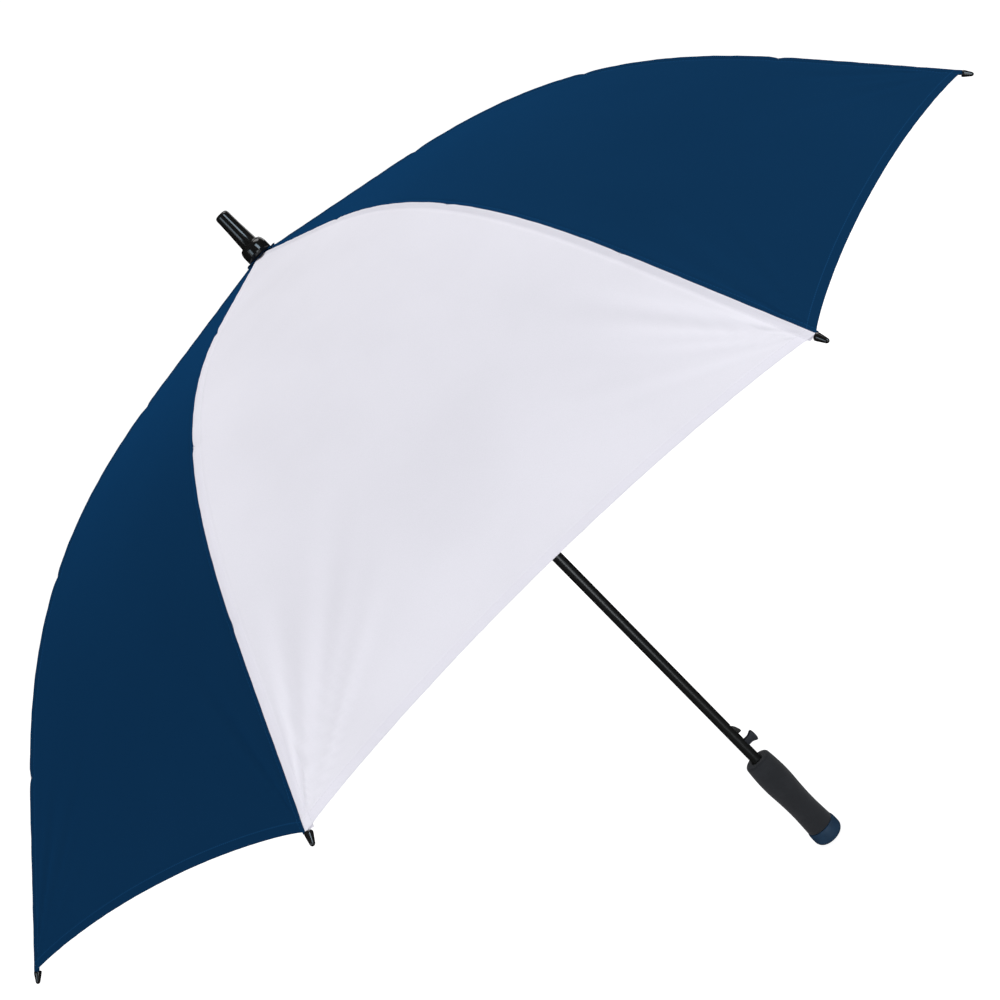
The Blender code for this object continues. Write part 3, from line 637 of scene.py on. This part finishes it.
LOOKS = {
    "navy_cloth": cloth_material(
        "navy_cloth_look",
        NAVY,
        through=0.04,
        margin=0.02,
        thread=1.8,
        gloss=0.0,
        sheen=0.08,
        sheen_tint=(0.01, 0.30, 1.0),
    ),
    "white_cloth": cloth_material(
        "white_cloth_look",
        WHITE,
        through=0.20,
        margin=0.040,
        thread=1.06,
        gloss=0.10,
        sheen=0.02,
        sheen_tint=(1.0, 1.0, 1.0),
    ),
    "black_plastic": gloss_plastic("black_plastic_look"),
    "rib_fibreglass": fibreglass("rib_fibreglass_look"),
    "shaft_enamel": enamel("shaft_enamel_look"),
    "steel": steel("steel_look", (0.56, 0.57, 0.60), roughness=0.28),
    "foam": foam_material("foam_look"),
    "cap_plastic": satin_plastic(
        "cap_plastic_look", (0.0100, 0.0400, 0.0860), roughness=0.55, grain_size=0.0009, depth=0.00008
    ),
}
DARK_STEEL = steel("blackened_steel_look", (0.055, 0.052, 0.050), roughness=0.36)
BUTTON_PLASTIC = satin_plastic(
    "button_plastic_look", (0.020, 0.022, 0.030), roughness=0.40, grain_size=0.0006, depth=0.00006
)
THREAD = thread_material("thread_look", (0.55, 0.56, 0.60))


# ---- Canopy ----
def panel_colour(number):
    return "navy" if number % 2 else "white"


def panel_grid():
    """The whole panel as grids: along, across, depth, distance in from the seam and up from the hem."""
    seam = [(z, 0.0, 0.0, 0.0) for z in np.linspace(0, 1, SEAM_COLUMNS)]
    field = [(1.0, f, 0.0, 0.0) for f in np.linspace(0, 1, FIELD_COLUMNS)[1:]]
    turned = [(0.0, 0.0, back, depth) for back, depth in reversed(SEAM_FOLD)]
    half = np.array(turned + seam + field)
    sides = np.array([-1] * len(half) + [1] * (len(half) - 1))
    zone_share, field_share, back, side_depth = np.concatenate([half, half[-2::-1]]).T

    rim = half_width_at(RIB_LENGTH)
    at_rim = SEAM_ZONE * zone_share + (rim - SEAM_ZONE) * field_share
    edge = hem_along(1 - at_rim / rim)
    inner = PANEL_START + (JOINT_ALONG - PANEL_START) * np.linspace(0, 1, INNER_ROWS)
    rows = [np.full(len(sides), a) for a in inner]
    field_length = edge - HEM_BAND - JOINT_ALONG
    rows += [JOINT_ALONG + share * field_length for share in np.linspace(0, 1, OUTER_ROWS)[1:]]
    rows += [edge - HEM_BAND * (1 - share) for share in np.linspace(0, 1, BAND_ROWS)[1:]]
    top = len(rows)
    rows += [edge - up for up, _ in HEM_FOLD]
    along = np.array(rows)
    row_depth = np.array([0.0] * top + [depth for _, depth in HEM_FOLD])

    # Near the crown the panel is too narrow for the whole margin and its turning.
    half_width = half_width_at(along)
    zone = np.minimum(SEAM_ZONE, 0.4 * half_width)
    shrink = np.minimum(1, 0.35 * half_width / SEAM_ALLOWANCE)
    inward = zone * zone_share + (half_width - zone) * field_share + back * shrink
    across = sides * (half_width - inward)
    depth = side_depth + row_depth[:, None]
    hidden = depth > 0
    from_seam = np.where(hidden, NO_EDGE, inward)
    from_hem = np.where(hidden, NO_EDGE, edge - along)
    return along, across, depth, from_seam, from_hem


def gather(obj, panel, side, outer):
    """The cloth of half a panel draws in to its rib as the umbrella shuts. Here it only gets a mesh of its
    own: the line along the rib is worked out and not used.
    """
    rib = panel if side < 0 else rib_after(panel)
    ends = (JOINT_ALONG, RIB_LENGTH) if outer else (PANEL_START, JOINT_ALONG)
    start, end = rib_point(rib, ends[0], 0), rib_point(rib, ends[1], 0)
    line = (end - start).normalized()
    raised = Vector((0, 0, 1)) - line * line.z
    raised.normalize()
    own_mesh(obj)


def make_panel(panel):
    """A panel as four sheets: an inner and an outer half at each of its two ribs."""
    along, across, depth, from_seam, from_hem = panel_grid()
    points = cloth_points(panel, along, across, depth)
    normals = grid_normals(points)
    if normals[INNER_ROWS, along.shape[1] // 2, 2] < 0:
        points, normals = points[:, ::-1], -normals[:, ::-1]
        along, across = along[:, ::-1], across[:, ::-1]
        from_seam, from_hem = from_seam[:, ::-1], from_hem[:, ::-1]
    cloth = np.stack([across, along, 0 * along], -1)
    # The third value, from the folds, sets where the cloth's colour is painted lighter and darker.
    edges = np.stack([from_seam, from_hem, folds_at(panel, along, across)], -1)
    colour = panel_colour(panel)
    middle = along.shape[1] // 2
    first_side = -1 if across[INNER_ROWS, 0] < 0 else 1
    for side, columns in ((first_side, slice(0, middle + 1)), (-first_side, slice(middle, None))):
        rib = panel if side < 0 else rib_after(panel)
        for part, rows, body in (
            ("inner", slice(0, INNER_ROWS), f"rib_{rib}"),
            ("outer", slice(INNER_ROWS - 1, None), f"rib_tip_{rib}"),
        ):
            cut = (rows, columns)
            obj = grid_object(
                f"panel_{panel}_{part}_at_rib_{rib}",
                points[cut],
                normals[cut],
                LOOKS[f"{colour}_cloth"],
                cloth=cloth[cut],
                edges=edges[cut],
            )
            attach(obj, body)
            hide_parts(f"panel_{panel}_{colour}")
            gather(obj, panel, side, part == "outer")


def make_tie_strap():
    """The closing strap: a doubled strip, sewn down at one end, on panel 1 beside the seam of rib 2."""
    panel, rib = 1, 2
    start, length, width, margin = 0.600, 0.110, 0.016, 0.003
    thickness, unevenness, lower_lift, upper_lift = 0.0009, 0.00012, 0.0004, 0.0006
    rounding = 0.06  # the share of its length over which the free end is rounded
    rows, columns = 60, 12
    down = np.linspace(0, 1, rows)
    over = np.linspace(-1, 1, columns)
    past = np.clip((down - (1 - rounding)) / rounding, 0, 1)
    rounded = np.sqrt(np.clip(1 - past**2, 0.02, 1))
    along = np.repeat((start + length * down)[:, None], columns, 1)
    middle = half_width_at(along) - margin - width / 2
    across = middle + width / 2 * over * rounded[:, None]
    edge = np.abs(over)[None, :] ** 10
    thick = thickness * (1 - edge) + unevenness * wander(along, 0.023, 3.3)
    top = cloth_points(panel, along, across, -upper_lift - thick)
    below = cloth_points(panel, along, across, np.full_like(along, -lower_lift))
    points = np.concatenate([top, below[:, ::-1]], 1)
    points = np.concatenate([points, points[:, :1]], 1)
    normals = grid_normals(points)
    if normals[rows // 2, columns // 2, 2] < 0:
        points, normals = points[:, ::-1], -normals[:, ::-1]
    # Stitches run 2 mm in from its edges.
    inset = width / 2 * (1 - np.abs(over)) + GROOVE_AT - 0.0020
    inset = np.concatenate([inset, np.full(columns, NO_EDGE), inset[:1]])
    none = np.zeros(points.shape[:2])
    edges = np.stack([np.tile(inset, (rows, 1)), none + NO_EDGE, none], -1)
    sideways = np.tile(np.concatenate([over, over, over[:1]]) * width / 2, (rows, 1))
    lengthways = np.tile(start + length * down[:, None], (1, points.shape[1]))
    cloth = np.stack([sideways, lengthways, none], -1)
    obj = grid_object("tie_strap_cloth", points, normals, LOOKS["navy_cloth"], cloth=cloth, edges=edges)
    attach(obj, f"rib_tip_{rib}")
    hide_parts("tie_strap")
    gather(obj, panel, 1, True)


def make_rib_ties():
    """Thread that holds each seam down to its rib: three turns round the rod, through the cloth."""
    turns, steps, pitch, thread = 3, 16, 0.0008, 0.00022
    half_width, half_height, above_rib = 0.0022, 0.0026, 0.0014
    for rib in range(1, PANELS + 1):
        azimuth = rib_azimuth(rib)
        tangent = Vector((-math.sin(azimuth), math.cos(azimuth), 0))
        for number, along in enumerate(TIES, 1):
            slope = float(slope_at(along))
            forward = Vector((math.cos(azimuth), math.sin(azimuth), 0)) * math.cos(slope)
            forward.z = -math.sin(slope)
            raised = tangent.cross(forward)
            if raised.z < 0:
                raised.negate()
            centre = rib_point(rib, along, RIB_DROP - above_rib)
            path = []
            for step in range(turns * steps + 1):
                angle = 2 * math.pi * step / steps
                path.append(
                    centre
                    + tangent * half_width * math.cos(angle)
                    + raised * half_height * math.sin(angle)
                    + forward * pitch * (step / steps - turns / 2)
                )
            obj = tube_object(f"rib_tie_{rib}_{number}", path, thread, THREAD, 6)
            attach(obj, f"rib_{rib}" if along < JOINT_ALONG else f"rib_tip_{rib}")


# ---- Crown ----
def make_rosette():
    """Patch of cloth under the ferrule: its raw, pinked edge stands up a little."""
    rings, steps, teeth_count = 14, 128, 20
    low, high = ROSETTE_BORE, ROSETTE_RADIUS
    slope = math.tan(math.radians(CROWN_SLOPE))
    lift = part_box("top_rosette")[0].z - CROWN_Z + high * slope
    angles = np.linspace(0, 2 * math.pi, steps + 1)
    share = np.linspace(0, 1, rings)[:, None]
    teeth = 0.0007 * np.abs(((angles * teeth_count / math.pi) % 2) - 1)
    outer = high - 0.0006 + teeth + 0.0006 * np.cos(4 * angles + 0.6)
    radius = low + (outer - low) * share
    curl = 0.0006 * share**3 * (1 + np.cos(5 * angles + 1.1)) + 0.0003 * share * np.sin(9 * angles)
    height = CROWN_Z - radius * slope + lift + 0.0006 + curl
    points = np.stack([radius * np.cos(angles), radius * np.sin(angles), height], -1)
    normals = grid_normals(points)
    if normals[rings // 2, 0, 2] < 0:
        points, normals = points[:, ::-1], -normals[:, ::-1]
    place = np.stack([points[..., 0], points[..., 1], 0 * points[..., 0]], -1)
    far = np.full(points.shape, NO_EDGE)
    obj = grid_object("rosette_cloth", points, normals, LOOKS["navy_cloth"], cloth=place, edges=far)
    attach(obj, "shaft")
    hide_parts("top_rosette")


def make_ferrule():
    """Tapered spike with a blunt end on a domed collar."""
    base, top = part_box("ferrule")[0].z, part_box("ferrule")[1].z
    collar, neck, tip, bore, nose_length, socket_depth = 0.0141, 0.0093, 0.0077, 0.0070, 0.0060, 0.0300
    neck_z, dome_z = CROWN_Z + 0.0148, base + 0.0056
    nose = [
        (tip * math.cos(a) ** 0.45, top - nose_length * (1 - math.sin(a) ** 0.55))
        for a in np.radians(np.linspace(90, 0, 14))
    ]
    cone = [(tip, top - 0.0072), (tip + 0.0004, CROWN_Z + 0.0370), (neck, neck_z + 0.0010)]
    dome = [
        (neck + 0.0002 + (collar - neck) * math.sin(a) ** 0.8, dome_z + (neck_z - dome_z) * math.cos(a))
        for a in np.radians(np.linspace(2, 90, 16))
    ]
    # The collar's foot reaches down to the rosette.
    cloth_slope = math.tan(math.radians(CROWN_SLOPE))
    foot_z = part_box("top_rosette")[0].z + (ROSETTE_RADIUS - collar) * cloth_slope + 0.0011
    foot = [
        (collar + 0.0002, foot_z + 0.0008),
        (collar - 0.0003, foot_z),
        (collar - 0.0016, foot_z + 0.0002),
        (0.0110, base),
        (bore, base),
    ]
    socket = [(bore, base + socket_depth), (0.0, base + socket_depth)]
    obj = turned_object("ferrule_spike", nose + cone + dome + foot + socket, LOOKS["black_plastic"])
    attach(obj, "shaft")
    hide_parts("ferrule")


def make_tip_caps():
    """Tapered caps with a bore for the rod, on the ends of the ribs."""
    length, mouth, end, bore, depth, set_back = 0.0112, 0.0033, 0.0021, 0.0015, 0.0052, 0.0008
    nose = [
        (end * math.cos(a), length - 1.3 * end * (1 - math.sin(a)))
        for a in np.radians(np.linspace(90, 6, 12))
    ]
    skirt = [(mouth - 0.0001, 0.0022), (mouth, 0.0006), (mouth - 0.0004, 0.0), (bore, 0.0), (bore, depth)]
    profile = nose + skirt + [(0.0, depth)]
    for rib in range(1, PANELS + 1):
        obj = turned_object(f"tip_cap_{rib}_plastic", profile, LOOKS["black_plastic"], 32)
        at = rib_point(rib, RIB_LENGTH - set_back, TIP_DROP)
        lean = Matrix.Rotation(math.radians(90 + RIM_SLOPE), 4, "Y")
        obj.data.transform(Matrix.Translation(at) @ Matrix.Rotation(rib_azimuth(rib), 4, "Z") @ lean)
        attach(obj, f"rib_tip_{rib}")
        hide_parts(f"tip_cap_{rib}")


# ---- Handle ----
def make_grip():
    """The waisted foam grip, snug round the shaft at its mouth, and the plastic sleeve inside it."""
    low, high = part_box("foam_grip")[0].z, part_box("foam_grip")[1].z
    bore, rim, rounding = 0.0082, 0.0166, 0.0032
    waisted = [
        (rim, high - rounding),
        (0.0172, high - 0.0090),
        (0.0179, high - 0.0190),
        (0.0183, high - 0.0300),
        (0.0181, high - 0.0420),
        (0.0172, high - 0.0560),
        (0.0165, high - 0.0700),
        (0.0163, high - 0.0850),
        (0.0168, high - 0.0990),
        (0.0173, low + 0.0030),
        (0.0173, low + 0.0008),
        (0.0168, low),
    ]
    corner = [
        (rim - rounding + rounding * math.cos(a), high - rounding + rounding * math.sin(a))
        for a in np.radians(np.linspace(90, 8, 10))
    ]
    lip, lip_rounding = 0.0068, 0.0022
    mouth = [
        (lip + lip_rounding * (1 - math.sin(a)), high - lip_rounding * (1 - math.cos(a)))
        for a in np.radians(np.linspace(90, 0, 8))
    ]
    mouth = [(bore, high - 0.0075), (lip, high - 0.0068)] + mouth
    profile = mouth + corner + smooth_line(waisted) + [(bore, low), mouth[0]]
    obj = turned_object("grip_foam", profile, LOOKS["foam"], 128)
    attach(obj, "shaft")
    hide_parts("foam_grip")

    bottom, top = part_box("grip_core")[0].z, high - 0.0078
    inner, outer, chamfer = 0.0067, 0.0081, 0.0003
    sleeve = [
        (inner, top),
        (outer - chamfer, top),
        (outer, top - 2 * chamfer),
        (outer, bottom),
        (inner, bottom),
        (inner, top),
    ]
    obj = turned_object("grip_sleeve", sleeve, LOOKS["black_plastic"])
    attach(obj, "shaft")
    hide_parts("grip_core")


def make_end_cap():
    """Smooth rounded cap with a socket for the shaft's end."""
    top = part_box("end_cap")[1].z
    rim, flat, corner, socket, floor = 0.0187, 0.0120, 0.0085, 0.0068, 0.0112
    side = [(0.0170, top), (0.0177, top - 0.0002), (0.0182, top - 0.0010), (rim, top - 0.0050), (rim, corner)]
    rounding = [
        (flat + (rim - flat) * math.cos(a), corner - corner * math.sin(a))
        for a in np.radians(np.linspace(4, 90, 20))
    ]
    bore = [(0.0, floor), (socket, floor), (socket, top)]
    profile = bore + smooth_line(side) + rounding + [(0.0, 0.0)]
    obj = turned_object("end_cap_plastic", profile, LOOKS["cap_plastic"], 128)
    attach(obj, "shaft")
    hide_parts("end_cap")


def make_button():
    """The push button: a stem through the shaft's wall and a wider head outside it."""
    low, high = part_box("push_button")
    middle = (low.z + high.z) / 2
    neck, head = 0.0040, (high.z - low.z) / 2
    root, face = low.x, high.x
    outline = [
        (root, middle - neck),
        (root, middle + neck),
        (0.0112, middle + neck),
        (0.0130, middle + neck + 0.0005),
        (0.0148, middle + neck + 0.0014),
        (0.0164, middle + head),
        (face - 0.0012, middle + head),
        (face - 0.0003, middle + head * 0.55),
        (face, middle),
        (face - 0.0003, middle - head * 0.55),
        (face - 0.0012, middle - head),
        (0.0164, middle - head),
        (0.0148, middle - neck - 0.0014),
        (0.0130, middle - neck - 0.0005),
        (0.0112, middle - neck),
    ]
    obj = plate_object("button_head", outline, 0.0032, 0.00035, BUTTON_PLASTIC)
    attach(obj, "button")
    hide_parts("push_button")


def make_latch():
    """A pressed steel leaf with the hook that holds the runner down."""
    low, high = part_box("latch")
    hook = low.z + 0.0198
    back, face = low.x, low.x + 0.0010
    outline = [
        (back, low.z),
        (face, low.z),
        (face, hook),
        (high.x - 0.0005, hook),
        (high.x, hook + 0.0010),
        (high.x - 0.0006, hook + 0.0034),
        (0.0090, hook + 0.0072),
        (0.0072, hook + 0.0102),
        (face, hook + 0.0125),
        (face, high.z),
        (back, high.z),
    ]
    obj = plate_object("latch_leaf", outline, 0.0022, 0.00018, DARK_STEEL)
    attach(obj, "latch")
    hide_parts("latch")


# ---- CAD parts whose shape is right ----
def refined(node, slot):
    """A copy of a CAD part with its faces joined and its round walls shaded smooth."""
    source = NODES[node]
    work = bmesh.new()
    work.from_mesh(source.data)
    bmesh.ops.remove_doubles(work, verts=work.verts, dist=1e-6)
    bmesh.ops.recalc_face_normals(work, faces=work.faces)
    mesh = bpy.data.meshes.new(f"{node}_finished")
    work.to_mesh(mesh)
    work.free()
    if "custom_normal" in mesh.attributes:
        mesh.attributes.remove(mesh.attributes["custom_normal"])
    mesh.materials.append(LOOKS[slot])
    mesh.shade_smooth()
    mesh.set_sharp_from_angle(angle=math.radians(35))
    obj = new_object(f"{node}_finished", mesh)
    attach(obj, source["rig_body"])
    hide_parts(node)
    return obj


def finish_cad_parts():
    for part in ("inner_rib", "outer_rib", "stretcher"):
        for number in range(1, PANELS + 1):
            refined(f"{part}_{number}", "rib_fibreglass")
    refined("shaft_tube", "shaft_enamel")
    for node in ("runner", "top_notch"):
        refined(node, "black_plastic")
    for node in ("runner_wire", "notch_wire", "notch_pin", "opening_spring", "drive_plunger"):
        refined(node, "steel")
    # The latch's spring gets shorter by the button's whole travel; here it only gets a mesh of its own.
    spring = refined("latch_spring", "steel")
    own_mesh(spring)


# ---- Studio and camera ----
def area_light(name, at, target, size, power, colour, shade=True, glints=True):
    """A lamp. With shade off it only shows as a highlight, and with glints off it never shows as one."""
    data = bpy.data.lights.new(name, "AREA")
    data.shape = "RECTANGLE"
    data.size, data.size_y = size
    data.energy = power
    data.color = colour
    obj = new_object(name, data)
    obj.location = at
    obj.rotation_euler = (Vector(target) - Vector(at)).to_track_quat("-Z", "Y").to_euler()
    obj.visible_diffuse = shade
    obj.visible_transmission = shade
    obj.visible_glossy = glints


def glow_material(name, strength, base):
    """A matt surface that glows by itself."""
    n = Nodes(name)
    n.finish(Base_Color=(base, base, base, 1), Roughness=0.9, Specular_IOR_Level=0.0)
    n.shader.inputs["Emission Color"].default_value = (1, 1, 1, 1)
    n.shader.inputs["Emission Strength"].default_value = strength
    return n.material


def hide_from_light(obj):
    """The camera sees the object, and it neither lights nor shades anything."""
    obj.visible_diffuse = False
    obj.visible_glossy = False
    obj.visible_transmission = False
    obj.visible_volume_scatter = False
    obj.visible_shadow = False


def make_studio():
    """A white backdrop and floor that light nothing, lamps, and cards for the streaks on the blacks."""
    world = bpy.data.worlds.new("studio")
    bpy.context.scene.world = world
    world.use_nodes = True
    sky = world.node_tree.nodes["Background"]
    sky.inputs["Color"].default_value = (0.97, 0.975, 1.0, 1)
    sky.inputs["Strength"].default_value = 0.70
    world.cycles_visibility.glossy = False  # keeps the white sky out of the black plastic

    bpy.ops.mesh.primitive_uv_sphere_add(radius=30, segments=64, ring_count=32)
    backdrop = bpy.context.object
    backdrop.name = "backdrop"
    backdrop.data.materials.append(glow_material("backdrop_white", 1.05, 0.0))
    bpy.ops.mesh.primitive_plane_add(size=40, location=(0, 0, -0.001))
    floor = bpy.context.object
    floor.name = "floor"
    floor.data.materials.append(glow_material("floor_white", 0.88, 0.35))
    for obj in (backdrop, floor):
        hide_from_light(obj)

    # Each: name, place, target, size, watts and colour
    centre = (0, 0, 0.75)
    area_light("key", (2.65, 0.3, 3.90), centre, (2.6, 2.6), 82, (1.0, 0.995, 0.985))
    area_light("front", (-0.6, -3.0, 1.2), centre, (2.0, 2.0), 10, (0.96, 0.98, 1.0), glints=False)
    area_light("left_strip", (-2.2, -1.6, 1.4), (0, 0, 0.9), (0.30, 2.0), 4, (0.90, 0.95, 1.0))
    area_light("right_strip", (1.2, -2.2, 0.9), (0, 0, 0.7), (0.20, 2.0), 5, (0.90, 0.95, 1.0))
    area_light("back", (1.8, 2.5, 2.0), centre, (2.0, 1.6), 12, (1.0, 1.0, 1.0))
    crown, card, blue = (0, 0, 1.2), (0.8, 1.6), (0.66, 0.85, 1.0)
    area_light("right_card", (1.66, -2.13, 1.45), crown, card, 34, blue, shade=False)
    area_light("left_card", (-1.66, -2.13, 1.45), crown, card, 17, blue, shade=False)
    area_light("low_card", (0.35, -2.60, 0.0), (0, 0, 0.5), (1.0, 1.0), 16, (0.88, 0.96, 1.0), shade=False)


def make_camera():
    """Below the crown, looking a little down, and rolled so that the shaft lies aslant in the picture."""
    aim_azimuth, aim_elevation, roll = math.radians(2.727), math.radians(-13.560), math.radians(-43.700)
    data = bpy.data.cameras.new("camera")
    data.sensor_width = 36.0
    data.lens = 53.1375
    data.shift_x, data.shift_y = -0.138755, 0.014593
    data.clip_start, data.clip_end = 0.05, 100
    camera = new_object("camera", data)
    camera.location = (0.02143, -1.58132, CROWN_Z - 0.09304)
    forward = Vector(
        (
            math.sin(aim_azimuth) * math.cos(aim_elevation),
            math.cos(aim_azimuth) * math.cos(aim_elevation),
            math.sin(aim_elevation),
        )
    )
    level = forward.to_track_quat("-Z", "Y").to_matrix()
    camera.rotation_euler = (level @ Matrix.Rotation(roll, 3, "Z")).to_euler()
    bpy.context.scene.camera = camera


bpy.context.scene.view_settings.view_transform = "Standard"
make_camera()
for number in range(1, PANELS + 1):
    make_panel(number)
make_tie_strap()
make_rib_ties()
make_rosette()
make_ferrule()
make_tip_caps()
make_grip()
make_end_cap()
make_button()
make_latch()
finish_cad_parts()
make_studio()
